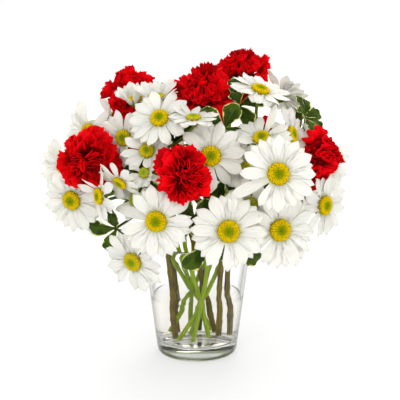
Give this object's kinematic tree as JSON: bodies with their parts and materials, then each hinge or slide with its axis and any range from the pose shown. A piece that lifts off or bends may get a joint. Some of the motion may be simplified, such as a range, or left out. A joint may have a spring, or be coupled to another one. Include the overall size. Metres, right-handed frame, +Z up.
{
  "type": "cut flower arrangement in a glass vase",
  "caption": "Red carnations and white daisies with variegated foliage, standing in water in a clear tapered glass vase.",
  "frame": {"origin": "on the table, at the centre of the vase's flat underside", "axes": "+Z up, -Y towards the front that the picture shows, +X to its right"},
  "size_m": [0.3128, 0.2532, 0.3047],
  "materials": {
    "glass": "clear polished colourless glass",
    "water": "clear still water",
    "carnation_red": "soft matt petals, saturated red, darker in the folds",
    "daisy_white": "soft matt white petals with fine grooves, greenish at the root",
    "daisy_yellow": "matt granular disc, yellow with a green middle",
    "stem_green": "smooth waxy green stem and calyx",
    "stem_brown": "ribbed half woody stem, brown below and green above",
    "leaf_green": "leathery dark green leaf with a cream margin"
  },
  "bodies": {
    "root": {"glass_vase": "glass", "water": "water", "carnation_head_1": "carnation_red", "carnation_head_2": "carnation_red", "carnation_head_3": "carnation_red", "carnation_head_4": "carnation_red", "carnation_head_5": "carnation_red", "carnation_head_6": "carnation_red", "carnation_head_7": "carnation_red", "carnation_head_8": "carnation_red", "daisy_petals_right": "daisy_white", "daisy_petals_left": "daisy_white", "daisy_petals_top_left": "daisy_white", "daisy_petals_top_right": "daisy_white", "daisy_petals_far_right": "daisy_white", "daisy_petals_far_left": "daisy_white", "daisy_petals_back": "daisy_white", "daisy_disc_1": "daisy_yellow", "daisy_disc_2": "daisy_yellow", "daisy_disc_3": "daisy_yellow", "daisy_disc_4": "daisy_yellow", "daisy_disc_5": "daisy_yellow", "daisy_disc_6": "daisy_yellow", "daisy_disc_7": "daisy_yellow", "daisy_disc_8": "daisy_yellow", "daisy_disc_9": "daisy_yellow", "daisy_disc_10": "daisy_yellow", "daisy_disc_11": "daisy_yellow", "daisy_disc_12": "daisy_yellow", "daisy_disc_13": "daisy_yellow", "daisy_disc_14": "daisy_yellow", "daisy_disc_15": "daisy_yellow", "daisy_disc_16": "daisy_yellow", "daisy_disc_17": "daisy_yellow", "daisy_disc_18": "daisy_yellow", "daisy_disc_19": "daisy_yellow", "daisy_disc_20": "daisy_yellow", "daisy_disc_21": "daisy_yellow", "daisy_disc_22": "daisy_yellow", "daisy_disc_23": "daisy_yellow", "daisy_disc_24": "daisy_yellow", "daisy_disc_25": "daisy_yellow", "daisy_disc_26": "daisy_yellow", "daisy_disc_27": "daisy_yellow", "daisy_disc_28": "daisy_yellow", "daisy_disc_29": "daisy_yellow", "daisy_disc_30": "daisy_yellow", "daisy_disc_31": "daisy_yellow", "daisy_disc_32": "daisy_yellow", "daisy_disc_33": "daisy_yellow", "daisy_disc_34": "daisy_yellow", "daisy_disc_35": "daisy_yellow", "carnation_stems_near": "stem_green", "carnation_stems_far": "stem_green", "daisy_stems_right": "stem_brown", "daisy_stems_left": "stem_brown", "daisy_stems_top_left": "stem_brown", "daisy_stems_top_right": "stem_brown", "daisy_stems_back": "stem_brown", "foliage": "leaf_green"}
  },
  "joints": []
}
